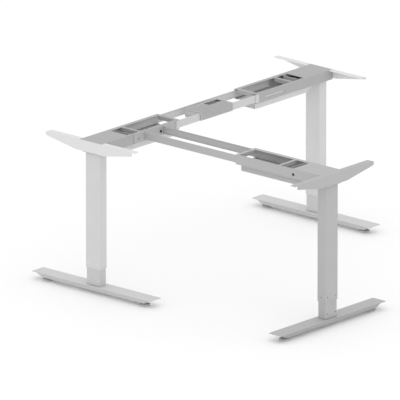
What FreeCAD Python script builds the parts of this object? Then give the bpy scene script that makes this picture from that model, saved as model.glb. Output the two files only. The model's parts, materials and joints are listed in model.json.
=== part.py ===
"""Frame of an L-shaped height adjustable standing desk on three telescopic legs.

Each leg is drawn once in its own frame: x runs inward along its beam, y across it, z up from
the floor under the column. It is then turned and moved to its place. All sizes are millimetres.
"""
import FreeCAD
import Part
import math
import os

# Layout of the three legs
main_span = 1486.0          # left column to right column
return_offset = 312.0       # left column to the return beam's centre line
return_reach = 1091.0       # main beam's centre line to the return column
frame_top = 708.0           # desktop plane above the floor, as built

# Lifting columns: three rectangular tubes in one another
outer_width = 85.0          # across the beam, along the foot
outer_depth = 50.0          # along the beam
tube_wall = 2.0
tube_corner = 6.0
tube_gap = 1.0              # between one tube and the next
outer_bottom = 117.0
middle_bottom = 40.0
middle_top = 500.0
inner_top = 480.0

# Feet and levelling feet
foot_length = 700.0
foot_width = 75.0
foot_top = 38.0
foot_plate = 3.0
foot_body_width = 48.0
foot_body_height = 20.0
foot_body_wall = 2.5
foot_end_inset = 6.0        # the body stops this far short of the plate's end
foot_end_slant = 42.0       # run of the slanted end of the body
leveler_inset = 61.0        # from the plate's end to the stud's axis
leveler_radius = 25.0
leveler_height = 11.0
leveler_stud_radius = 4.0
leveler_stud_top = 32.5

# Screws in the column and its drive
screw_radius = 3.0
foot_screw_x = 10.0
foot_screw_y = 24.0
foot_screw_head_radius = 5.0
foot_screw_head = 4.0
plug_thick = 8.0
nut_plate = 12.0
spindle_radius = 6.0
spindle_bottom = 200.0
spindle_collar_radius = 9.0
hollow_radius = 10.0
hollow_bore = 7.0
hollow_bottom = 110.0
thread_gap = 0.35
bearing_gap = 0.05
end_gap = 1.0
pad_width = 7.0
pad_height = 25.0
pad_proud = 0.6
pad_y = 27.0
pad_drop = 14.0
pin_hole_radius = 2.5
pin_hole_up = 21.0
low_hole_up = 21.0

# Side frame: one folded sheet, two webs under a top with open bays
rail_half = 65.0            # beam's centre line to the outside of a web
rail_height = 46.0
rail_sheet = 2.5
rail_flange = 18.0
rail_outer_end = 38.0       # past the column's axis, away from the beam
rail_inner_end = 483.0
bays = ((148.0, 222.0), (236.0, 465.0))
bay_lip_closed = 20.0       # top left beside a bay, on the side frame's closed side
bay_lip_open = 10.0         # and on its open side
bay_lip_return = 2.5        # the return frame's bays reach its web there
rib_depth = 18.0
rib_sheet = 2.0
web_slot = (290.0, 420.0)
web_slot_height = 10.0
web_hole_x = 145.5
web_hole_radius = 5.0
web_hole_drop = 27.0

# Housing of the drive motor, and the motor in it
housing_inner_end = 175.0
housing_height = 50.5
housing_sheet = 2.0
housing_gap = 0.5
housing_round = 18.0
gear_half = 27.0
gear_height = 40.0
motor_radius = 20.0
motor_end = 158.0
motor_boss_radius = 10.0
motor_boss_end = 164.0

# Side bracket that carries the desktop
bracket_half = 264.0
bracket_sheet = 2.5
bracket_flange = 30.0
bracket_depth = 50.0        # of the left and return brackets
bracket_depth_right = 40.0
bracket_tip = 19.0
bracket_tip_right = 8.0
bracket_step = 17.0         # the web stops this far short of the flange at its square end
bracket_tip_round = 8.0
bracket_flat_half = 86.0
bracket_notch_gap = 1.0
desk_hole_y = 200.0
desk_hole_radius = 3.25
bracket_stud_y = 34.0
bracket_stud_z = (14.0, 34.0)  # below the desktop plane
bracket_stud_radius = 3.0
bracket_stud_length = 12.0
bracket_stud_gap = 0.3
bracket_nut = 10.0          # across the flats
bracket_nut_thick = 5.0

# Cable tray under the side frame
tray_start = 72.0
tray_under_housing = 1.0    # gap between the tray's sides and the motor housing
tray_lip_start = 177.0
tray_end = 468.0
tray_half = 46.0
tray_height = 32.0
tray_sheet = 2.0
tray_lip = 14.0
tray_lip_end = 481.0
tray_slant = 48.0

# Rails that slide in the side frames
slide_gap = 0.5
slide_gap_z = 3.5
inner_sheet = 2.0
inner_flange = 5.0
main_rail_overlap = 229.0
return_rail_overlap = 229.0

# Junction of the return beam with the main beam
junction_half = 133.0
junction_sheet = 3.0
junction_bolt_x = (43.0, 105.0)
junction_bolt_drop = 26.0
junction_bolt_radius = 4.0
junction_head_radius = 5.5
junction_head = 4.0
junction_hex = 5.0          # across the flats of the socket
junction_hex_depth = 3.0

# Control box that hangs on the main front rail
control_start = 627.0
control_length = 216.0
control_back = 28.0
control_height = 36.0
control_wall = 2.0
control_gap = 1.0
cover_skin = 1.4
cover_fin = 1.2
cover_fin_pitch = 6.0
cover_fin_width = 2.4
cover_margin = 8.0
cover_front_gap = 0.6
cover_window = (114.0, 204.0, -14.0, 20.0)  # along from the start, then across the beam

# Sizes that follow
middle_width = outer_width - 2 * (tube_wall + tube_gap)
middle_depth = outer_depth - 2 * (tube_wall + tube_gap)
inner_width = middle_width - 2 * (tube_wall + tube_gap)
inner_depth = middle_depth - 2 * (tube_wall + tube_gap)
middle_corner = tube_corner - tube_gap
inner_corner = middle_corner - tube_gap
rail_bottom = frame_top - rail_height
frame_skin_bottom = frame_top - rail_sheet
housing_bottom = frame_skin_bottom - housing_height
housing_half = rail_half - rail_flange - housing_gap
slide_half = rail_half - rail_sheet - slide_gap
slide_top = frame_skin_bottom - slide_gap_z
slide_bottom = rail_bottom + rail_sheet + slide_gap_z
leveler_y = foot_length / 2 - leveler_inset
bracket_face = rail_outer_end + bracket_sheet
centre_x = main_span / 2
low_y = -return_reach - max(bracket_face, foot_width / 2)
high_y = max(foot_length / 2, bracket_half)
centre_y = (low_y + high_y) / 2
UP = FreeCAD.Vector(0, 0, 1)
ALONG = FreeCAD.Vector(1, 0, 0)
ACROSS = FreeCAD.Vector(0, 1, 0)
ORIGIN = FreeCAD.Vector(centre_x, centre_y, 0)


def block(x0, x1, y0, y1, z0, z1):
    """A box between two corners."""
    return Part.makeBox(x1 - x0, y1 - y0, z1 - z0, FreeCAD.Vector(x0, y0, z0))


def rod(radius, start, direction, length):
    """A round bar from start, along direction."""
    return Part.makeCylinder(radius, length, FreeCAD.Vector(*start), direction)


def rounded(width, depth, corner, z0, z1):
    """An upright bar of rounded rectangular section, centred on the column's axis."""
    bar = block(-depth / 2, depth / 2, -width / 2, width / 2, z0, z1)
    upright = [e for e in bar.Edges if abs(e.tangentAt(e.FirstParameter).z) > 0.9]
    return bar.makeFillet(corner, upright)


def tube(width, depth, corner, z0, z1):
    """An upright rectangular tube with one wall thickness all round."""
    hollow = rounded(
        width - 2 * tube_wall, depth - 2 * tube_wall, corner - tube_wall, z0, z1
    )
    return rounded(width, depth, corner, z0, z1).cut(hollow)


def prism(points, direction):
    """A flat outline of straight sides, pushed along a direction."""
    corners = [FreeCAD.Vector(*p) for p in points]
    face = Part.Face(Part.makePolygon(corners + corners[:1]))
    return face.extrude(direction)


def hexagon(across, start, direction, length):
    """A six-sided bar along X or Y, by its size across the flats."""
    reach = across / math.sqrt(3)
    side = ACROSS if abs(direction.x) > 0.5 else ALONG
    middle = FreeCAD.Vector(*start)
    corners = []
    for turn in range(6):
        angle = math.radians(60 * turn + 30)
        corners.append(middle + side * (reach * math.cos(angle)) + UP * (reach * math.sin(angle)))
    return prism([tuple(c) for c in corners], direction * length)


def foot():
    """Folded foot: a flat plate over a hollow body with slanted ends."""
    half = foot_length / 2
    body_top = foot_top - foot_plate
    body_low = body_top - foot_body_height
    plate = block(-foot_width / 2, foot_width / 2, -half, half, body_top, foot_top)
    top_y = half - foot_end_inset
    low_end = top_y - foot_end_slant
    outline = (
        (-foot_body_width / 2, -top_y, body_top),
        (-foot_body_width / 2, -low_end, body_low),
        (-foot_body_width / 2, low_end, body_low),
        (-foot_body_width / 2, top_y, body_top),
    )
    body = prism(outline, ALONG * foot_body_width)
    inside = foot_body_width / 2 - foot_body_wall
    hollow = block(-inside, inside, -half, half, body_low + foot_body_wall, body_top)
    shape = plate.fuse(body.cut(hollow))
    for x in (-foot_screw_x, foot_screw_x):
        for y in (-foot_screw_y, foot_screw_y):
            shape = shape.cut(rod(screw_radius, (x, y, body_low), UP, foot_top))
            access = rod(foot_screw_head_radius + 2, (x, y, body_low - 1), UP, foot_body_wall + 2)
            shape = shape.cut(access)
    for y in (-leveler_y, leveler_y):
        start = (0, y, body_low - 1)
        hole = rod(leveler_stud_radius + thread_gap, start, UP, foot_body_wall + 2)
        shape = shape.cut(hole)
    return shape.removeSplitter()


def foot_screws():
    """Four screws up through the foot into the column's base plug."""
    plate_low = foot_top - foot_plate
    shapes = []
    for x in (-foot_screw_x, foot_screw_x):
        for y in (-foot_screw_y, foot_screw_y):
            shank = rod(screw_radius, (x, y, plate_low), UP, foot_plate + plug_thick)
            head_low = plate_low - foot_screw_head
            head = rod(foot_screw_head_radius, (x, y, head_low), UP, foot_screw_head)
            socket = rod(screw_radius * 0.7, (x, y, head_low), UP, foot_screw_head / 2)
            shapes.append(shank.fuse(head).cut(socket).removeSplitter())
    return Part.makeCompound(shapes)


def leveler(y):
    """Round levelling foot on a threaded stud."""
    disc = rod(leveler_radius, (0, y, 0), UP, leveler_height)
    rim = [e for e in disc.Edges if e.Length > 2 * leveler_radius * 3]
    disc = disc.makeChamfer(2.0, rim)
    stud = rod(leveler_stud_radius, (0, y, 0), UP, leveler_stud_top)
    return disc.fuse(stud).removeSplitter()


def inner_tube():
    """Lowest tube, with the plug that the foot's screws hold."""
    shape = tube(inner_width, inner_depth, inner_corner, foot_top, inner_top)
    plug_width = inner_width - 2 * tube_wall
    plug_depth = inner_depth - 2 * tube_wall
    plug = block(
        -plug_depth / 2, plug_depth / 2, -plug_width / 2, plug_width / 2,
        foot_top, foot_top + plug_thick,
    )
    shape = shape.fuse(plug)
    for x in (-foot_screw_x, foot_screw_x):
        for y in (-foot_screw_y, foot_screw_y):
            shape = shape.cut(rod(screw_radius, (x, y, foot_top - 1), UP, plug_thick + 2))
    return shape.removeSplitter()


def nut_block(width, depth, corner, top, bore):
    """Nut plate that fills a tube's mouth, with the thread's clearance bore."""
    inner = (width - 2 * tube_wall, depth - 2 * tube_wall, corner - tube_wall)
    plate = rounded(*inner, top - nut_plate, top)
    return plate.cut(rod(bore, (0, 0, top - nut_plate - 1), UP, nut_plate + 2))


def pad_places():
    """Places of the glide pads: two on each wide side and one on each narrow side."""
    top = middle_top - pad_drop
    places = []
    for side in (-1, 1):
        for y in (-pad_y, pad_y):
            places.append(("wide", side, y, top))
        places.append(("narrow", side, 0.0, top))
    return places


def pad(kind, side, along, top, grow):
    """One glide pad through the middle tube's wall, grown by a gap where it is a window."""
    half = pad_width / 2 + grow
    low = top - pad_height - grow
    high = top + grow
    reach = (middle_depth if kind == "wide" else middle_width) / 2
    near = reach - tube_wall
    far = reach + pad_proud
    ends = sorted((side * near, side * far))
    if kind == "wide":
        return block(ends[0], ends[1], along - half, along + half, low, high)
    return block(along - half, along + half, ends[0], ends[1], low, high)


def middle_tube():
    """Middle tube, with windows for its glide pads and four pin holes at its foot."""
    shape = tube(middle_width, middle_depth, middle_corner, middle_bottom, middle_top)
    for place in pad_places():
        shape = shape.cut(pad(*place, 0.0))
    for y in (-pad_y, pad_y):
        start = (-middle_depth, y, middle_bottom + low_hole_up)
        shape = shape.cut(rod(pin_hole_radius, start, ALONG, 2 * middle_depth))
    return shape


def glide_pads():
    """Six plastic pads that guide the outer tube on the middle one."""
    return Part.makeCompound([pad(*place, 0.0) for place in pad_places()])


def hollow_screw():
    """Hollow screw of the lower stage, which turns in the middle tube."""
    top = middle_top - nut_plate - end_gap
    length = top - hollow_bottom
    bar = rod(hollow_radius, (0, 0, hollow_bottom), UP, length)
    return bar.cut(rod(hollow_bore, (0, 0, hollow_bottom - 1), UP, length + 2))


def spindle():
    """Screw of the upper stage, which turns in the gear case."""
    top = housing_bottom + housing_sheet + gear_height - end_gap
    bar = rod(spindle_radius, (0, 0, spindle_bottom), UP, top - spindle_bottom)
    collar_top = housing_bottom - end_gap
    collar = rod(spindle_collar_radius, (0, 0, collar_top - 8), UP, 8)
    return bar.fuse(collar).removeSplitter()


def outer_tube():
    """Outer tube, with the holes of the pins that hold its lower guide."""
    shape = tube(outer_width, outer_depth, tube_corner, outer_bottom, housing_bottom)
    level = outer_bottom + pin_hole_up
    for y in (-pad_y, pad_y):
        shape = shape.cut(rod(pin_hole_radius, (-outer_depth, y, level), ALONG, 2 * outer_depth))
    shape = shape.cut(rod(pin_hole_radius, (0, -outer_width, level), ACROSS, 2 * outer_width))
    return shape


def motor_housing():
    """Open-topped pan under the side frame, round at its inner lower edge."""
    low = housing_bottom
    high = frame_skin_bottom
    pan = block(-rail_outer_end, housing_inner_end, -housing_half, housing_half, low, high)
    sheet = housing_sheet
    hollow = block(
        -rail_outer_end + sheet, housing_inner_end - sheet,
        -housing_half + sheet, housing_half - sheet, low + sheet, high,
    )
    pan = round_edge(pan, housing_round)
    hollow = round_edge(hollow, housing_round - sheet)
    shape = pan.cut(hollow)
    shape = shape.cut(rod(spindle_collar_radius + end_gap, (0, 0, low - 1), UP, sheet + 2))
    radius = bracket_stud_radius + bracket_stud_gap
    for y, z in stud_places():
        shape = shape.cut(rod(radius, (-rail_outer_end - 1, y, z), ALONG, sheet + 2))
    return shape


def round_edge(shape, radius):
    """Rounds the lower edge at a box's inner end."""
    found = []
    for e in shape.Edges:
        middle = e.CenterOfMass
        if middle.x > shape.BoundBox.XMax - 0.1 and middle.z < shape.BoundBox.ZMin + 0.1:
            found.append(e)
    return shape.makeFillet(radius, found)


def gear_motor():
    """Gear case round the spindle's top, and the motor that lies along the beam."""
    low = housing_bottom + housing_sheet
    case = block(-gear_half, gear_half, -gear_half, gear_half, low, low + gear_height)
    axis_z = low + gear_height / 2 + 1
    can = rod(motor_radius, (gear_half, 0, axis_z), ALONG, motor_end - gear_half)
    boss = rod(motor_boss_radius, (motor_end, 0, axis_z), ALONG, motor_boss_end - motor_end)
    shape = case.fuse(can).fuse(boss)
    bore = rod(spindle_radius + bearing_gap, (0, 0, low - 1), UP, gear_height + 1)
    return shape.cut(bore).removeSplitter()


def side_frame(open_side, open_lip, slotted):
    """Folded sheet with webs, flanges, and cross ribs between bays that are wider on one side."""
    x0 = -rail_outer_end
    x1 = rail_inner_end
    shape = block(x0, x1, -rail_half, rail_half, frame_skin_bottom, frame_top)
    for side in (-1, 1):
        ends = sorted((side * rail_half, side * (rail_half - rail_sheet)))
        web = block(x0, x1, ends[0], ends[1], rail_bottom, frame_top)
        start = (web_hole_x, side * (rail_half - 4), frame_top - web_hole_drop)
        if slotted:
            cut = stadium(web_slot, web_slot_height, side)
        else:
            cut = rod(web_hole_radius, start, ACROSS * side, 5)
        shape = shape.fuse(web.cut(cut))
        ends = sorted((side * rail_half, side * (rail_half - rail_flange)))
        lip = block(x0, x1, ends[0], ends[1], rail_bottom, rail_bottom + rail_sheet)
        shape = shape.fuse(lip)
    edges = sorted((open_side * (rail_half - open_lip), -open_side * (rail_half - bay_lip_closed)))
    for start, end in bays:
        shape = shape.cut(block(start, end, edges[0], edges[1], frame_skin_bottom, frame_top))
    width = rail_half - rail_flange - slide_gap
    last_rib = (bays[-1][1], rail_inner_end)
    for start, end in ((bays[0][1], bays[1][0]), last_rib):
        low = frame_top - rib_depth
        for x in (start, end - rib_sheet):
            fold = block(x, x + rib_sheet, -width, width, low, frame_skin_bottom)
            shape = shape.fuse(fold)
    return shape.removeSplitter()


def stadium(span, height, side):
    """A round-ended slot through one web of the side frame."""
    radius = height / 2
    ends = sorted((side * (rail_half - 4), side * (rail_half + 1)))
    level = frame_top - web_hole_drop
    x0 = span[0] + radius
    x1 = span[1] - radius
    body = block(x0, x1, ends[0], ends[1], level - radius, level + radius)
    for x in (x0, x1):
        body = body.fuse(rod(radius, (x, ends[0], level), ACROSS, ends[1] - ends[0]))
    return body


def bracket(square_side, depth, tip_height):
    """Desktop bracket: a tapered web, square at one end and round at the other, under a flange."""
    half = bracket_half
    low = frame_top - depth
    tip = frame_top - tip_height
    square_end = square_side * (half - bracket_step)
    round_end = -square_side * half
    flat = square_side * bracket_flat_half
    outline = (
        (-bracket_face, square_end, frame_top),
        (-bracket_face, square_end, tip),
        (-bracket_face, flat, low),
        (-bracket_face, -flat, low),
        (-bracket_face, round_end, tip),
        (-bracket_face, round_end, frame_top),
    )
    web = prism(outline, ALONG * bracket_sheet)
    corners = [e for e in web.Edges if thin(e, bracket_sheet) and at_y(e, round_end)]
    shape = web.makeFillet(min(bracket_tip_round, 0.4 * tip_height), corners)
    inner = rail_half + bracket_notch_gap
    free = -bracket_face + bracket_flange
    for side in (-1, 1):
        tip_y = side * half if side == square_side else side * (half - bracket_tip_round)
        ends = sorted((side * inner, tip_y))
        flange = block(-bracket_face, free, ends[0], ends[1], frame_skin_bottom, frame_top)
        outer = [
            e for e in flange.Edges
            if thin(e, rail_sheet) and at_y(e, tip_y) and e.CenterOfMass.x > free - 0.1
        ]
        shape = shape.fuse(flange.makeFillet(bracket_tip_round, outer))
        at = (-bracket_face + bracket_flange / 2, side * desk_hole_y, frame_skin_bottom - 1)
        shape = shape.cut(rod(desk_hole_radius, at, UP, rail_sheet + 2))
    for y, z in stud_places():
        start = (-bracket_face + bracket_sheet, y, z)
        shape = shape.fuse(rod(bracket_stud_radius, start, ALONG, bracket_stud_length))
    return shape.removeSplitter()


def thin(edge, sheet):
    """True for an edge that runs through a sheet."""
    return abs(edge.Length - sheet) < 0.01


def at_y(edge, y):
    """True for an edge at one place across the beam."""
    return abs(edge.CenterOfMass.y - y) < 0.1


def stud_places():
    """Places of the studs welded to the bracket's inner side."""
    return [(y, frame_top - z) for z in bracket_stud_z for y in (-bracket_stud_y, bracket_stud_y)]


def bracket_nuts():
    """Four nuts that hold the bracket's studs to the motor housing's end wall."""
    shapes = []
    face = -rail_outer_end + housing_sheet
    for y, z in stud_places():
        body = hexagon(bracket_nut, (face, y, z), ALONG, bracket_nut_thick)
        bore = rod(bracket_stud_radius, (face - 1, y, z), ALONG, bracket_nut_thick + 2)
        shapes.append(body.cut(bore))
    return Part.makeCompound(shapes)


def cable_tray():
    """Channel under the housing and the bays, with lips that hang on the side frame's flanges."""
    top = rail_bottom
    low = top - tray_height
    step = housing_bottom - tray_under_housing
    outline = (
        (tray_start, -tray_half, step),
        (tray_start + tray_slant, -tray_half, low),
        (tray_end, -tray_half, low),
        (tray_end, -tray_half, top),
        (tray_lip_start, -tray_half, top),
        (tray_lip_start, -tray_half, step),
    )
    shape = prism(outline, ACROSS * (2 * tray_half))
    inside = tray_half - tray_sheet
    hollow = block(tray_start - 1, tray_end + 1, -inside, inside, low + tray_sheet, top)
    shape = shape.cut(hollow)
    for side in (-1, 1):
        ends = sorted((side * inside, side * (tray_half + tray_lip)))
        lip = block(tray_lip_start, tray_lip_end, ends[0], ends[1], top - tray_sheet, top)
        shape = shape.fuse(lip)
    return shape.removeSplitter()


def channel(x0, x1, side):
    """One sliding rail: a channel section open towards the beam's middle."""
    web_in = side * (slide_half - inner_sheet)
    ends = sorted((side * slide_half, web_in))
    shape = block(x0, x1, ends[0], ends[1], slide_bottom, slide_top)
    for low in (slide_bottom, slide_top - inner_sheet):
        ends = sorted((side * slide_half, side * (slide_half - inner_flange)))
        shape = shape.fuse(block(x0, x1, ends[0], ends[1], low, low + inner_sheet))
    return shape.removeSplitter()


def main_inner_rails():
    """The two rails that join the left and right side frames."""
    x0 = rail_inner_end - main_rail_overlap
    x1 = main_span - x0
    return Part.makeCompound([channel(x0, x1, side) for side in (-1, 1)])


def return_inner_rails():
    """The two rails from the junction plate into the return side frame, in the leg's frame."""
    x0 = rail_inner_end - return_rail_overlap
    x1 = return_reach - rail_half - junction_sheet
    return Part.makeCompound([channel(x0, x1, side) for side in (-1, 1)])


def bolt_places():
    """Junction bolts' places along the main beam."""
    return [return_offset + s * x for x in junction_bolt_x for s in (-1, 1)]


def junction_plate():
    """Plate on the main front rail that the return rails butt onto."""
    front = -rail_half - junction_sheet
    x0 = return_offset - junction_half
    x1 = return_offset + junction_half
    shape = block(x0, x1, front, -rail_half, rail_bottom, frame_top)
    level = frame_top - junction_bolt_drop
    for x in bolt_places():
        hole = rod(junction_bolt_radius, (x, front - 1, level), ACROSS, junction_sheet + 2)
        shape = shape.cut(hole)
    return shape


def junction_bolts():
    """Bolts with round heads and hexagon sockets through the plate."""
    front = -rail_half - junction_sheet
    level = frame_top - junction_bolt_drop
    shapes = []
    for x in bolt_places():
        start = (x, front - junction_head, level)
        head = rod(junction_head_radius, start, ACROSS, junction_head)
        shank = rod(junction_bolt_radius, (x, front, level), ACROSS, junction_sheet)
        socket = hexagon(junction_hex, start, ACROSS, junction_hex_depth)
        shapes.append(head.fuse(shank).cut(socket).removeSplitter())
    return Part.makeCompound(shapes)


def control_box():
    """Case of the control box, behind the front rail and under the cover."""
    front = -slide_half + inner_flange + control_gap
    high = frame_skin_bottom - cover_front_gap
    low = high - control_height
    x1 = control_start + control_length
    inset = cover_skin + control_gap
    case = block(control_start + inset, x1 - inset, front, control_back - inset, low, high)
    wall = control_wall
    hollow = block(
        control_start + inset + wall, x1 - inset - wall, front + wall,
        control_back - inset - wall, low + wall, high,
    )
    return case.cut(hollow)


def control_cover():
    """Ribbed cover that hooks over the front rail and closes the case."""
    high = frame_skin_bottom - cover_front_gap + cover_skin
    low = frame_skin_bottom - cover_front_gap - control_height
    front = -rail_half - junction_sheet
    x0 = control_start
    x1 = control_start + control_length
    shape = block(x0, x1, front, control_back, low, high)
    hollow_front = front + cover_skin
    shape = shape.cut(
        block(
            x0 + cover_skin, x1 - cover_skin, hollow_front, control_back - cover_skin,
            low - 1, high - cover_skin,
        )
    )
    rail_gap = control_gap / 2
    shape = shape.cut(
        block(
            x0 - 1, x1 + 1, -slide_half - rail_gap, -slide_half + inner_flange + rail_gap,
            low - 1, slide_top + rail_gap,
        )
    )
    fins = []
    count = int((control_length - 2 * cover_margin) / cover_fin_pitch)
    first = x0 + (control_length - count * cover_fin_pitch) / 2
    for n in range(count + 1):
        x = first + n * cover_fin_pitch - cover_fin_width / 2
        top_fin = block(
            x, x + cover_fin_width, front, control_back - cover_margin, high, high + cover_fin
        )
        side_fin = block(x, x + cover_fin_width, front - cover_fin, front, low, high + cover_fin)
        fins.append(top_fin.fuse(side_fin))
    window = block(
        x0 + cover_window[0], x0 + cover_window[1], cover_window[2], cover_window[3],
        low, high + 2 * cover_fin,
    )
    return shape.multiFuse(fins).cut(window).removeSplitter()


def leg_parts():
    """The pieces that every leg has alike, in the leg's own frame."""
    return {
        "foot": foot(),
        "foot_screws": foot_screws(),
        "leveler_a": leveler(leveler_y),
        "leveler_b": leveler(-leveler_y),
        "inner_tube": inner_tube(),
        "inner_nut": nut_block(
            inner_width, inner_depth, inner_corner, inner_top, hollow_radius + thread_gap
        ),
        "middle_tube": middle_tube(),
        "middle_nut": nut_block(
            middle_width, middle_depth, middle_corner, middle_top, spindle_radius + thread_gap
        ),
        "glide_pads": glide_pads(),
        "hollow_screw": hollow_screw(),
        "outer_tube": outer_tube(),
        "spindle": spindle(),
        "gear_motor": gear_motor(),
        "motor_housing": motor_housing(),
        "bracket_nuts": bracket_nuts(),
        "cable_tray": cable_tray(),
    }


def place(shape, turn, x, y):
    """A copy turned about the leg's own axis, then moved from the left leg to the row's origin."""
    spin = FreeCAD.Rotation(UP, turn)
    moved = shape.copy()
    moved.Placement = FreeCAD.Placement(FreeCAD.Vector(x, y, 0) - ORIGIN, spin)
    return moved


def save(name, shape):
    """Writes one node's STEP file."""
    shape.exportStep(os.path.join("parts", name + ".step"))


def main():
    """Builds every piece and writes it to parts."""
    os.makedirs("parts", exist_ok=True)
    places = {
        "left": (0.0, 0.0, 0.0),
        "right": (180.0, main_span, 0.0),
        "return": (90.0, return_offset, -return_reach),
    }
    frames = {
        "left": side_frame(-1, bay_lip_open, True),
        "right": side_frame(1, bay_lip_open, True),
        "return": side_frame(1, bay_lip_return, False),
    }
    brackets = {
        "left": bracket(-1, bracket_depth, bracket_tip),
        "right": bracket(-1, bracket_depth_right, bracket_tip_right),
        "return": bracket(1, bracket_depth, bracket_tip),
    }
    pieces = leg_parts()
    for leg, (turn, x, y) in places.items():
        for name, shape in pieces.items():
            save(f"{leg}_{name}", place(shape, turn, x, y))
        save(f"{leg}_side_frame", place(frames[leg], turn, x, y))
        save(f"{leg}_bracket", place(brackets[leg], turn, x, y))
    save("return_inner_rails", place(return_inner_rails(), *places["return"]))
    for maker in (main_inner_rails, junction_plate, junction_bolts, control_box, control_cover):
        save(maker.__name__, place(maker(), *places["left"]))


main()
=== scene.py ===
"""Looks of an L-shaped height adjustable desk frame on three telescopic legs."""
import json
import math

import bmesh
import bpy
from mathutils import Matrix, Vector

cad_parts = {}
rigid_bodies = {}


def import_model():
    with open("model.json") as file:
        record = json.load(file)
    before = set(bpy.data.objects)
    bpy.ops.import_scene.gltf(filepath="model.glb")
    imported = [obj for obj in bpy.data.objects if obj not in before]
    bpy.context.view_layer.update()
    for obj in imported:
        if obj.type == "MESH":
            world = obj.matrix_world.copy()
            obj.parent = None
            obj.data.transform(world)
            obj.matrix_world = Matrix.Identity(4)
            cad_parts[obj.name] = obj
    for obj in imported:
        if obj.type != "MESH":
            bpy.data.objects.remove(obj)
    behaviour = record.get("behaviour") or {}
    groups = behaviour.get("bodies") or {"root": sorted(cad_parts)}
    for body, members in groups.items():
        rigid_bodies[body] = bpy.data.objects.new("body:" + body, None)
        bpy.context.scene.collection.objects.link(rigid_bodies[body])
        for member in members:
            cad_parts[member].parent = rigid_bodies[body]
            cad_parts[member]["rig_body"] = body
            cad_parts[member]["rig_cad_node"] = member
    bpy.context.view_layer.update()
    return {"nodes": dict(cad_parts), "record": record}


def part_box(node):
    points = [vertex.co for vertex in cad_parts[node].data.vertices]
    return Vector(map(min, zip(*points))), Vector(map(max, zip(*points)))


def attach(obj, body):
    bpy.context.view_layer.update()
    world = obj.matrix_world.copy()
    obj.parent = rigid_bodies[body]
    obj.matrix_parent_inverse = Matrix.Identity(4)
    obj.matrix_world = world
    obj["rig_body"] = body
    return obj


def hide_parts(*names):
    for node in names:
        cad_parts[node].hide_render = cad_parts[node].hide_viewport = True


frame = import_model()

MM = 0.001
TURNS = {"left": 0.0, "right": 180.0, "return": 90.0}
BODIES = frame["record"]["behaviour"]["bodies"]
BODY_OF = {node: body for body, nodes in BODIES.items() for node in nodes}
SLOT_OF = {part["node"]: part["material_slot"] for part in frame["record"]["subparts"]}

# Edges: angles in degrees, the rest in metres
EDGE_ANGLE = 35.0            # a sharper corner than this is rounded
LEVELER_ANGLE = 40.0         # the same on the levelling feet
EDGE_SEGMENTS = 2
SMALL_EDGE = 0.25 * MM
MERGE_GAP = 0.02 * MM        # corners of a CAD mesh nearer than this are one
THREAD_GAP = 0.01 * MM       # the same on a thread
FLAT_ANGLE = 0.5             # faces nearer to flat than this are joined
NORMAL_WEIGHT = 100          # Weighted Normal at its highest: large faces decide
ROUND_SIDES = 24             # sides of a small round piece

# Small pieces
WEB_HOLE_X = 145.5 * MM      # round hole in a web, inward from its column's axis
WEB_HOLE_DROP = 27 * MM      # and below the frame's top
# black plugs over the web holes: painted shade for the dark inside of the holes
SHADE_PLUG_RADIUS = 6.8 * MM
SHADE_PLUG_STEM = 1.5 * MM
PIN_RISE = 21 * MM           # guide pins, above the lower end of their tube
PIN_Y = 27 * MM              # and off the middle of its wide face
PIN_RADIUS = 2.5 * MM
PIN_STEM = 2 * MM
STUD_ROOT = 3.3 * MM
STUD_CREST = 4 * MM
STUD_PITCH = 1.5 * MM
STUD_FOOT = 12 * MM          # height at which a levelling foot's thread starts
SPINDLE_ROOT = 5 * MM
SPINDLE_CREST = 6 * MM
SPINDLE_PITCH = 8 * MM       # lift for each turn
SPINDLE_NECK = 50 * MM       # plain length over the thread
SLEEVE_LENGTH = 20 * MM
SLEEVE_SHEET = 1.2 * MM
SLEEVE_MARGIN = 4.5 * MM     # what it leaves of the web, above and below
SLEEVE_PAST = 1 * MM         # how far it stands past the side frame's end
SLEEVE_LIP = 0.8 * MM
SLEEVE_RETURN = 3 * MM       # how far its lip turns in over the web's edge
BOARD_THICK = 1.6 * MM
BOARD_EDGE = 0.2 * MM
FIN_COUNT = 7
FIN_PITCH = 4.2 * MM
CAN_PITCH = 13 * MM
SOCKET_PITCH = 19 * MM
MOTOR_SOCKET = 14 * MM       # width of a motor's socket
HANDSET_SOCKET = 9 * MM

# Camera: a long lens far away, so that upright edges stay parallel
CAMERA_TURN = math.radians(41.41)    # look direction, from +X towards +Y
CAMERA_DOWN = math.radians(16.97)
CAMERA_AIM = Vector((-0.252, 0.2092, 0.3540))
CAMERA_FIELD = 1.782                 # width seen at the aim point
CAMERA_LENS = 1700.0
CAMERA_NEAR = 1.0
SENSOR = 36.0

# Studio: an even white sky, a white floor and one broad soft light
SKY_STRENGTH = 1.0
SUN_STRENGTH = 0.22
SUN_WIDTH = 60.0
SUN_FROM = (-0.45, -0.80, 1.0)
FLOOR_SIZE = 600.0


def make_camera():
    """The one camera, aimed along a fixed direction."""
    look = Vector((
        math.cos(CAMERA_TURN) * math.cos(CAMERA_DOWN),
        math.sin(CAMERA_TURN) * math.cos(CAMERA_DOWN),
        -math.sin(CAMERA_DOWN),
    ))
    distance = CAMERA_LENS * CAMERA_FIELD / SENSOR
    data = bpy.data.cameras.new("camera")
    data.sensor_width = SENSOR
    data.lens = CAMERA_LENS
    data.clip_start = CAMERA_NEAR
    data.clip_end = 4 * distance
    camera = bpy.data.objects.new("camera", data)
    camera.location = CAMERA_AIM - look * distance
    camera.rotation_euler = look.to_track_quat("-Z", "Y").to_euler()
    bpy.context.scene.collection.objects.link(camera)
    bpy.context.scene.camera = camera


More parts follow.
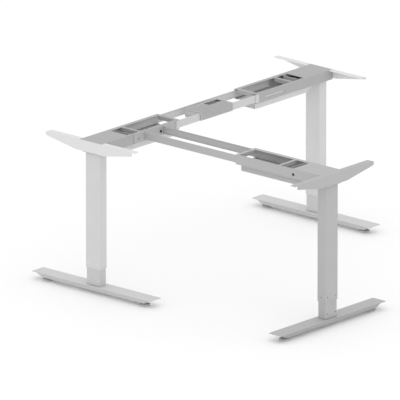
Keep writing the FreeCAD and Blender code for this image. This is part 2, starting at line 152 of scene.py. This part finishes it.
def make_studio():
    """A white floor, an even white sky and one broad soft light."""
    bpy.ops.object.select_all(action="DESELECT")
    bpy.ops.mesh.primitive_plane_add(size=FLOOR_SIZE)
    floor = bpy.context.object
    floor.name = "floor"
    floor.data.materials.append(FINISH["floor"])
    world = bpy.data.worlds.new("sky")
    world.use_nodes = True
    background = world.node_tree.nodes["Background"]
    background.inputs["Color"].default_value = (1, 1, 1, 1)
    background.inputs["Strength"].default_value = SKY_STRENGTH
    bpy.context.scene.world = world
    data = bpy.data.lights.new("softbox", "SUN")
    data.energy = SUN_STRENGTH
    data.angle = math.radians(SUN_WIDTH)
    light = bpy.data.objects.new("softbox", data)
    light.rotation_euler = Vector(SUN_FROM).to_track_quat("Z", "Y").to_euler()
    bpy.context.scene.collection.objects.link(light)
    bpy.context.scene.view_settings.view_transform = "Standard"


class Value:
    """A shader socket that Python's operators act on by adding Math nodes."""

    def __init__(self, shader, socket):
        self.shader = shader
        self.socket = socket

    def math(self, operation, first, second):
        node = self.shader.node("ShaderNodeMath", {"operation": operation}, {0: first, 1: second})
        return Value(self.shader, node.outputs[0])

    def __add__(self, other):
        return self.math("ADD", self, other)

    def __mul__(self, other):
        return self.math("MULTIPLY", self, other)

    __radd__ = __add__
    __rmul__ = __mul__


class Shader:
    """One material's node tree, with the object's own coordinates ready."""

    def __init__(self, name):
        self.material = bpy.data.materials.new(name)
        self.material.use_nodes = True
        self.tree = self.material.node_tree
        self.surface = self.tree.nodes["Principled BSDF"]
        self.place = self.node("ShaderNodeTexCoord", {}, {}).outputs["Object"]

    def node(self, kind, settings, sockets):
        """Adds a node, sets it up, then fills or links its sockets."""
        made = self.tree.nodes.new(kind)
        for key, value in settings.items():
            setattr(made, key, value)
        for key, value in sockets.items():
            self.fill(made.inputs[key], value)
        return made

    def fill(self, socket, value):
        """Links a socket, or sets its number or colour."""
        if isinstance(value, Value):
            value = value.socket
        if isinstance(value, bpy.types.NodeSocket):
            self.tree.links.new(value, socket)
        else:
            socket.default_value = value

    def noise(self, scale, detail, place=None):
        """Noise from 0 to 1, scale in lumps per metre."""
        sockets = {"Vector": place or self.place, "Scale": scale, "Detail": detail}
        return Value(self, self.node("ShaderNodeTexNoise", {}, sockets).outputs["Fac"])

    def stretched(self, factors):
        """The object's coordinates, stretched along each axis."""
        sockets = {"Vector": self.place, "Scale": factors}
        return self.node("ShaderNodeMapping", {}, sockets).outputs["Vector"]

    def blend(self, mask, first, second):
        """A colour that goes from first to second as mask goes from 0 to 1."""
        sockets = {"Factor": mask, "A": (*first, 1), "B": (*second, 1)}
        made = self.node("ShaderNodeMix", {"data_type": "RGBA"}, {})
        for key, value in sockets.items():
            found = [s for s in made.inputs if s.name == key and s.enabled]
            self.fill(found[0], value)
        return [s for s in made.outputs if s.enabled][0]

    def bump(self, height, depth, strength):
        """Feeds a height into the normal; depth is its size in metres."""
        sockets = {"Height": height, "Distance": depth, "Strength": strength}
        normal = self.node("ShaderNodeBump", {}, sockets).outputs["Normal"]
        self.fill(self.surface.inputs["Normal"], normal)

    def set(self, **sockets):
        """Sets sockets of the surface by name, with underscores for spaces."""
        for key, value in sockets.items():
            self.fill(self.surface.inputs[key.replace("_", " ")], value)


def toned(tone, factor):
    """A colour made a little lighter or darker."""
    return tuple(min(1.0, channel * factor) for channel in tone)


def powder_coat(name, tone):
    """Satin powder coat: fine orange peel, with cloudy shade and gloss."""
    shader = Shader(name)
    cloud = shader.noise(9.0, 3.0)
    speck = shader.noise(1400.0, 1.0)
    peel = shader.noise(520.0, 2.0)
    mask = cloud * 0.5 + speck * 0.5
    shader.set(
        Base_Color=shader.blend(mask, toned(tone, 0.93), toned(tone, 1.07)),
        Roughness=0.42 + 0.16 * cloud + 0.06 * speck,
        Metallic=0.0,
        Specular_IOR_Level=0.35,
    )
    shader.bump(peel * 0.7 + speck * 0.3, 0.0003, 0.7)
    return shader.material


def moulded(name, tone, rough=0.5):
    """Moulded plastic with a fine spark-eroded grain."""
    shader = Shader(name)
    grains = shader.noise(900.0, 1.0)
    cloud = shader.noise(25.0, 2.0)
    shader.set(
        Base_Color=shader.blend(cloud, toned(tone, 0.96), toned(tone, 1.03)),
        Roughness=rough + 0.1 * grains,
        Specular_IOR_Level=0.4,
    )
    shader.bump(grains, 0.0001, 0.5)
    return shader.material


def metal(name, tone, rough):
    """Bare metal with streaks drawn along Z."""
    shader = Shader(name)
    streaks = shader.noise(1.0, 3.0, shader.stretched((400.0, 400.0, 12.0)))
    stain = shader.noise(60.0, 2.0)
    shader.set(
        Base_Color=shader.blend(stain, toned(tone, 0.9), toned(tone, 1.06)),
        Roughness=rough + 0.18 * streaks,
        Metallic=1.0,
    )
    shader.bump(streaks, 0.00004, 0.5)
    return shader.material


def studio_white(name):
    """Matte white that shows only soft shadows."""
    shader = Shader(name)
    shader.set(Base_Color=(0.97, 0.97, 0.97, 1), Roughness=1.0, Specular_IOR_Level=0.0)
    return shader.material


FINISH = {
    "floor": studio_white("floor_white"),
    "base_paint": powder_coat("pale_coat", (0.60, 0.60, 0.60)),
    "column_paint": powder_coat("pale_tube_coat", (0.62, 0.62, 0.62)),
    "arm_paint": powder_coat("very_pale_coat", (0.72, 0.72, 0.72)),
    "tray_paint": powder_coat("tray_coat", (0.64, 0.64, 0.64)),
    "frame_paint": powder_coat("grey_coat", (0.40, 0.40, 0.405)),
    "tube_paint": powder_coat("light_coat", (0.56, 0.56, 0.56)),
    "return_paint": powder_coat("silver_coat", (0.445, 0.445, 0.447)),
    "rail_paint": powder_coat("rail_coat", (0.59, 0.59, 0.59)),
    "housing_paint": powder_coat("housing_coat", (0.42, 0.42, 0.425)),
    "control_case": moulded("control_plastic", (0.46, 0.46, 0.465)),
    "zinc_screw": metal("bright_zinc", (0.66, 0.66, 0.67), 0.3),
    # black oxide on bolts and pins; on the web plugs this black is painted shade
    "black_screw": powder_coat("black_oxide_and_painted_shade", (0.02, 0.02, 0.022)),
    "leveler_plastic": moulded("foot_plastic", (0.50, 0.50, 0.50)),
    "glide_plastic": moulded("white_acetal", (0.80, 0.80, 0.79), 0.35),
    "nut_plastic": moulded("ivory_acetal", (0.80, 0.79, 0.74), 0.35),
    "screw_steel": metal("rolled_steel", (0.55, 0.55, 0.57), 0.28),
    "motor_steel": powder_coat("motor_grey", (0.24, 0.24, 0.245)),
}


def dress_frame():
    """Gives every CAD node the finish of its slot."""
    for node, obj in frame["nodes"].items():
        obj.data.materials.clear()
        obj.data.materials.append(FINISH[SLOT_OF[node]])


def alone(*objects):
    """Selects these objects only, the last one active."""
    bpy.ops.object.select_all(action="DESELECT")
    for obj in objects:
        obj.select_set(True)
    bpy.context.view_layer.objects.active = objects[-1]


def edit(obj, kind="FACE"):
    """Opens one object for editing with nothing in it selected."""
    alone(obj)
    bpy.ops.object.mode_set(mode="EDIT")
    bpy.ops.mesh.select_mode(type=kind)
    bpy.ops.mesh.select_all(action="DESELECT")


def done():
    """Leaves edit mode."""
    bpy.ops.object.mode_set(mode="OBJECT")


def pick_faces(test):
    """Selects the faces of the open mesh that pass a test, and no others."""
    mesh = bmesh.from_edit_mesh(bpy.context.object.data)
    for face in mesh.faces:
        face.select_set(bool(test(face)))
    bmesh.update_edit_mesh(bpy.context.object.data)


def face_outwards(obj):
    """Turns every face of a closed mesh outwards."""
    edit(obj)
    bpy.ops.mesh.select_all(action="SELECT")
    bpy.ops.mesh.normals_make_consistent(inside=False)
    mesh = bmesh.from_edit_mesh(obj.data)
    if mesh.calc_volume(signed=True) < 0:
        bpy.ops.mesh.flip_normals()
    done()


def settle(obj):
    """Puts an object's place, turn and size into its mesh."""
    alone(obj)
    bpy.ops.object.transform_apply(location=True, rotation=True, scale=True)


def flattened(obj, angle):
    """Smooths round corners and keeps the shading of the flat faces even."""
    alone(obj)
    bpy.ops.object.shade_smooth_by_angle(angle=math.radians(angle))
    weights = obj.modifiers.new("normals", "WEIGHTED_NORMAL")
    weights.weight = NORMAL_WEIGHT
    weights.keep_sharp = True
    bpy.ops.object.modifier_apply(modifier=weights.name)


def bevelled(obj, width, angle=EDGE_ANGLE):
    """Rounds an object's sharp edges with an applied Bevel."""
    alone(obj)
    bevel = obj.modifiers.new("edges", "BEVEL")
    bevel.width = width
    bevel.segments = EDGE_SEGMENTS
    bevel.limit_method = "ANGLE"
    bevel.angle_limit = math.radians(angle)
    bpy.ops.object.modifier_apply(modifier=bevel.name)
    flattened(obj, angle)


def finished(obj, name, body, slot, *replaced):
    """Names a piece, dresses it, ties it to a body and hides the nodes it stands for."""
    obj.name = name
    obj.data.name = name
    obj.data.materials.clear()
    obj.data.materials.append(FINISH[slot])
    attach(obj, body)
    if replaced:
        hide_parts(*replaced)


def softened(node, width):
    """Stands for a CAD node with a merged copy that has rounded edges."""
    source = frame["nodes"][node]
    alone(source)
    bpy.ops.object.duplicate()
    piece = bpy.context.object
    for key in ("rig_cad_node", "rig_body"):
        del piece[key]
    edit(piece, "VERT")
    bpy.ops.mesh.select_all(action="SELECT")
    bpy.ops.mesh.remove_doubles(threshold=MERGE_GAP)
    bpy.ops.mesh.dissolve_limited(angle_limit=math.radians(FLAT_ANGLE))
    done()
    bevelled(piece, width)
    finished(piece, node + "_shell", BODY_OF[node], SLOT_OF[node], node)
    return piece


def soften_sheet_and_tubes():
    """Rounds the folded sheet, the tubes and the cast parts of the legs and beams."""
    leg_widths = {
        "foot": 0.9, "inner_tube": 0.3, "middle_tube": 0.3, "outer_tube": 0.4,
        "motor_housing": 0.8, "side_frame": 0.9, "bracket": 0.6, "cable_tray": 0.7,
        "gear_motor": 1.0, "middle_nut": 0.4, "glide_pads": 0.3,
    }
    shared_widths = {
        "main_inner_rails": 0.5, "return_inner_rails": 0.5, "junction_plate": 0.5,
        "control_box": 0.5, "control_cover": 0.35,
    }
    for leg in TURNS:
        for kind, width in leg_widths.items():
            softened(f"{leg}_{kind}", width * MM)
    for node, width in shared_widths.items():
        softened(node, width * MM)


def leg_place(leg):
    """Turns and moves from the leg's own frame, under its column, to the desk's frame."""
    low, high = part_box(f"{leg}_outer_tube")
    middle = (low + high) / 2
    spin = Matrix.Rotation(math.radians(TURNS[leg]), 4, "Z")
    return Matrix.Translation((middle.x, middle.y, 0)) @ spin


def leg_copy(model, leg, name, body, slot, *replaced):
    """A copy of a piece modelled in the leg's own frame, placed on one leg."""
    alone(model)
    bpy.ops.object.duplicate()
    piece = bpy.context.object
    piece.matrix_world = leg_place(leg) @ piece.matrix_world
    settle(piece)
    finished(piece, name, body, slot, *replaced)


def turned(rings, sides):
    """A closed round body made by growing a disc through rings of radius and height."""
    radius, level = rings[0]
    bpy.ops.object.select_all(action="DESELECT")
    bpy.ops.mesh.primitive_circle_add(
        vertices=sides, radius=radius, fill_type="NGON", location=(0, 0, level)
    )
    obj = bpy.context.object
    settle(obj)
    edit(obj)
    bpy.ops.mesh.select_all(action="SELECT")
    for new_radius, new_level in rings[1:]:
        rise = (0, 0, new_level - level)
        bpy.ops.mesh.extrude_region_move(TRANSFORM_OT_translate={"value": rise})
        scale = new_radius / radius
        bpy.ops.transform.resize(value=(scale, scale, 1), center_override=(0, 0, new_level))
        radius, level = new_radius, new_level
    done()
    face_outwards(obj)
    return obj


def joined(objects):
    """One object made of several."""
    alone(*objects)
    bpy.ops.object.join()
    return bpy.context.object


def threaded(root, crest, pitch, low, high, steps=20):
    """A closed rod with a helical thread, about Z."""
    turns = max(1, round((high - low) / pitch) - 1)
    profile = ((root, 0.0), (root, 0.25), (crest, 0.42), (crest, 0.58), (root, 0.75), (root, 1.0))
    bpy.ops.object.select_all(action="DESELECT")
    bpy.ops.mesh.primitive_plane_add(size=MM, location=(0, 0, 0))
    rod = bpy.context.object
    edit(rod, "VERT")
    bpy.ops.mesh.select_all(action="SELECT")
    bpy.ops.mesh.merge(type="CENTER")
    bpy.ops.transform.translate(value=(profile[0][0], 0, low))
    for (x0, z0), (x1, z1) in zip(profile, profile[1:]):
        step = (x1 - x0, 0, (z1 - z0) * pitch)
        bpy.ops.mesh.extrude_region_move(TRANSFORM_OT_translate={"value": step})
    done()
    settle(rod)
    screw = rod.modifiers.new("thread", "SCREW")
    screw.axis = "Z"
    screw.screw_offset = pitch
    screw.iterations = turns
    screw.steps = steps
    screw.render_steps = steps
    screw.use_merge_vertices = True
    alone(rod)
    bpy.ops.object.modifier_apply(modifier=screw.name)
    edit(rod, "EDGE")
    bpy.ops.mesh.select_all(action="SELECT")
    bpy.ops.mesh.remove_doubles(threshold=THREAD_GAP)
    bpy.ops.mesh.fill_holes(sides=0)
    done()
    face_outwards(rod)
    return rod


def make_levelers():
    """Round feet with a soft rim, a hexagon for the wrench and a threaded stud."""
    low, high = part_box("left_leveler_a")
    reach = (high.x - low.x) / 2
    disc = turned((
        (reach - 3 * MM, 0.0), (reach - 0.7 * MM, 0.6 * MM), (reach, 2 * MM), (reach, 6.2 * MM),
        (reach - 0.6 * MM, 7.2 * MM), (reach - 2.4 * MM, 8.0 * MM), (13 * MM, 9.4 * MM),
        (11 * MM, 11 * MM), (4.5 * MM, 11 * MM),
    ), 64)
    nut = turned((
        (8.6 * MM, 10.5 * MM), (8.6 * MM, 13.2 * MM), (7.6 * MM, 13.8 * MM), (4.6 * MM, 13.8 * MM),
    ), 6)
    stud = threaded(STUD_ROOT, STUD_CREST, STUD_PITCH, STUD_FOOT, high.z)
    body = joined([nut, disc])
    bevelled(body, SMALL_EDGE, LEVELER_ANGLE)
    flattened(stud, LEVELER_ANGLE)
    model = joined([stud, body])
    axis = (low + high) / 2
    across = (leg_place("left").inverted() @ axis).y
    for leg in TURNS:
        for letter, side in (("a", 1), ("b", -1)):
            model.location = (0, side * across, 0)
            bpy.context.view_layer.update()
            node = f"{leg}_leveler_{letter}"
            leg_copy(model, leg, node + "_foot", BODY_OF[node], SLOT_OF[node], node)
    bpy.data.objects.remove(model)


def button(radius, depth, facing, place):
    """A domed head, with a stem into its hole, that looks along a direction."""
    head = turned((
        (0.8 * radius, -depth), (0.8 * radius, 0), (radius, 0.1 * MM), (0.9 * radius, 0.6 * MM),
        (0.55 * radius, 0.85 * MM),
    ), ROUND_SIDES)
    head.rotation_euler = Vector(facing).to_track_quat("Z", "Y").to_euler()
    head.location = place
    settle(head)
    return head


def make_guide_pins():
    """Pins that hold the plastic guides in the mouths of the two upper tubes."""
    for tube, body, narrow in (("outer_tube", "side", True), ("middle_tube", "middle", False)):
        low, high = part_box(f"left_{tube}")
        depth = (high.x - low.x) / 2
        width = (high.y - low.y) / 2
        level = low.z + PIN_RISE
        heads = []
        for side in (-1, 1):
            for y in (-PIN_Y, PIN_Y):
                place = (side * depth, y, level)
                heads.append(button(PIN_RADIUS, PIN_STEM, (side, 0, 0), place))
            if narrow:
                place = (0, side * width, level)
                heads.append(button(PIN_RADIUS, PIN_STEM, (0, side, 0), place))
        model = joined(heads)
        for leg in TURNS:
            slot = "black_screw" if leg == "return" else "glide_plastic"
            leg_copy(model, leg, f"{leg}_{tube}_pins", f"{leg}_{body}", slot)
        bpy.data.objects.remove(model)


def sleeve(side):
    """Painted end sleeve with a shallow recess, outside one web at the inner end."""
    low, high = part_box("left_side_frame")
    axis = leg_place("left").translation
    end = high.x - axis.x
    reach = (high.y - low.y) / 2
    tall = high.z - low.z - 2 * SLEEVE_MARGIN
    place = (
        end - SLEEVE_LENGTH / 2 + SLEEVE_PAST,
        side * (reach + 0.5 * MM),
        high.z - SLEEVE_MARGIN - tall / 2,
    )
    lip = end + SLEEVE_PAST - 0.1 * MM
    bpy.ops.object.select_all(action="DESELECT")
    size = (SLEEVE_LENGTH, SLEEVE_SHEET, tall)
    bpy.ops.mesh.primitive_cube_add(size=1, location=place, scale=size)
    plate = bpy.context.object
    settle(plate)
    edit(plate)
    pick_faces(lambda face: face.normal.x > 0.9)
    bpy.ops.mesh.extrude_region_move(TRANSFORM_OT_translate={"value": (SLEEVE_LIP, 0, 0)})
    pick_faces(lambda face: face.normal.y * side < -0.9 and face.calc_center_median().x > lip)
    inwards = (0, -side * SLEEVE_RETURN, 0)
    bpy.ops.mesh.extrude_region_move(TRANSFORM_OT_translate={"value": inwards})
    pick_faces(lambda face: face.normal.y * side > 0.9 and face.calc_center_median().x < lip)
    bpy.ops.mesh.inset(thickness=1.6 * MM, depth=-0.35 * MM)
    done()
    bevelled(plate, SMALL_EDGE)
    return plate


def make_sleeves():
    """End sleeves on the two side frames that the main rails slide in."""
    model = joined([sleeve(-1), sleeve(1)])
    for leg in ("left", "right"):
        leg_copy(model, leg, f"{leg}_rail_sleeves", f"{leg}_side", "rail_paint")
    bpy.data.objects.remove(model)


def make_painted_shade_plugs():
    """Black plugs in the round holes through the webs of the return side frame; their black is
    painted shade for the dark inside of the holes.
    """
    low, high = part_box("left_side_frame")
    reach = (high.y - low.y) / 2
    level = high.z - WEB_HOLE_DROP
    plugs = [
        button(SHADE_PLUG_RADIUS, SHADE_PLUG_STEM, (0, side, 0), (WEB_HOLE_X, side * reach, level))
        for side in (-1, 1)
    ]
    model = joined(plugs)
    # the black finish here is painted shade for the dark inside of the web holes
    leg_copy(model, "return", "return_web_painted_shade_plugs", "return_side", "black_screw")
    bpy.data.objects.remove(model)


def make_bolts():
    """Junction bolts: a black pair between the rails, a painted pair outside them."""
    piece = softened("junction_bolts", 0.4 * MM)
    piece.data.materials.clear()
    piece.data.materials.append(FINISH["black_screw"])
    piece.data.materials.append(FINISH["return_paint"])
    low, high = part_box("junction_plate")
    middle = (low.x + high.x) / 2
    inner = (high.x - low.x) / 3.6
    for face in piece.data.polygons:
        face.material_index = 1 if abs(face.center.x - middle) > inner else 0


def block(place, size, rounding):
    """A rounded block whose top is inset inside a rim, by a third of the rim's width."""
    bpy.ops.object.select_all(action="DESELECT")
    bpy.ops.mesh.primitive_cube_add(size=1, location=place, scale=size)
    obj = bpy.context.object
    settle(obj)
    edit(obj)
    pick_faces(lambda face: face.normal.z > 0.9)
    rim = min(size[0], size[1]) / 6
    bpy.ops.mesh.inset(thickness=rim, depth=-rim / 3)
    done()
    bevelled(obj, rounding)
    return obj


def make_control_board():
    """Circuit board under the cover's window, with heat sinks, capacitors and a relay.

    The board's own inset is deeper than the board is thick, so its floor lies under it.
    """
    low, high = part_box("control_cover")
    x0 = low.x + 115 * MM
    x1 = low.x + 203 * MM
    y1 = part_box("control_box")[1].y - 3 * MM
    y0 = y1 - 44 * MM
    level = high.z - 19 * MM
    board_size = (x1 - x0, y1 - y0, BOARD_THICK)
    fin_size = (1.6 * MM, 22 * MM, 13 * MM)
    relay_size = (14 * MM, 18 * MM, 11 * MM)
    parts = [block(((x0 + x1) / 2, (y0 + y1) / 2, level), board_size, BOARD_EDGE)]
    for n in range(FIN_COUNT):
        place = (x0 + 8 * MM + n * FIN_PITCH, y1 - 14 * MM, level + 7 * MM)
        parts.append(block(place, fin_size, BOARD_EDGE))
    for n in range(2):
        can = turned((
            (5 * MM, 0), (5 * MM, 12 * MM), (4.4 * MM, 13 * MM), (3.2 * MM, 12.7 * MM),
        ), ROUND_SIDES)
        can.location = (x0 + 48 * MM + n * CAN_PITCH, y1 - 12 * MM, level)
        settle(can)
        parts.append(can)
    place = (x1 - 10 * MM, y1 - 20 * MM, level + 6 * MM)
    parts.append(block(place, relay_size, 0.4 * MM))
    board = joined(parts)
    # the board's dark grey is partly its own colour and partly painted shade, keeping the window
    # as dark as the shade inside it
    finished(board, "control_board", "main_slide", "motor_steel")


def make_sockets():
    """Row of plug sockets on one end of the control box: three motors and the handset."""
    low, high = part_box("control_cover")
    frames = []
    for n in range(4):
        wide = HANDSET_SOCKET if n == 3 else MOTOR_SOCKET
        place = (low.x, high.y - 14 * MM - n * SOCKET_PITCH, high.z - 17 * MM)
        size = (2.4 * MM, wide, 11 * MM)
        bpy.ops.object.select_all(action="DESELECT")
        bpy.ops.mesh.primitive_cube_add(size=1, location=place, scale=size)
        socket = bpy.context.object
        settle(socket)
        edit(socket)
        pick_faces(lambda face: face.normal.x < -0.9)
        bpy.ops.mesh.inset(thickness=1.4 * MM, depth=0)
        bpy.ops.mesh.extrude_region_move(TRANSFORM_OT_translate={"value": (2.0 * MM, 0, 0)})
        done()
        bevelled(socket, SMALL_EDGE)
        frames.append(socket)
    finished(joined(frames), "control_sockets", "main_slide", "glide_plastic")


def make_screws():
    """Spindles of the upper stages: a thread under a plain neck with a collar."""
    low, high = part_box("left_spindle")
    rod = threaded(
        SPINDLE_ROOT, SPINDLE_CREST, SPINDLE_PITCH, low.z, high.z - SPINDLE_NECK, ROUND_SIDES
    )
    outline = ((5.6, 62), (6, 61), (6, 49), (9, 48), (9, 41), (6, 40), (6, 1), (5.2, 0))
    neck = turned([(radius * MM, high.z - drop * MM) for radius, drop in outline], 32)
    model = joined([rod, neck])
    flattened(model, EDGE_ANGLE)
    for leg in TURNS:
        node = f"{leg}_spindle"
        leg_copy(model, leg, node + "_screw", BODY_OF[node], SLOT_OF[node], node)
    bpy.data.objects.remove(model)


make_camera()
make_studio()
dress_frame()
soften_sheet_and_tubes()
make_levelers()
make_guide_pins()
make_sleeves()
make_painted_shade_plugs()
make_bolts()
make_control_board()
make_sockets()
make_screws()
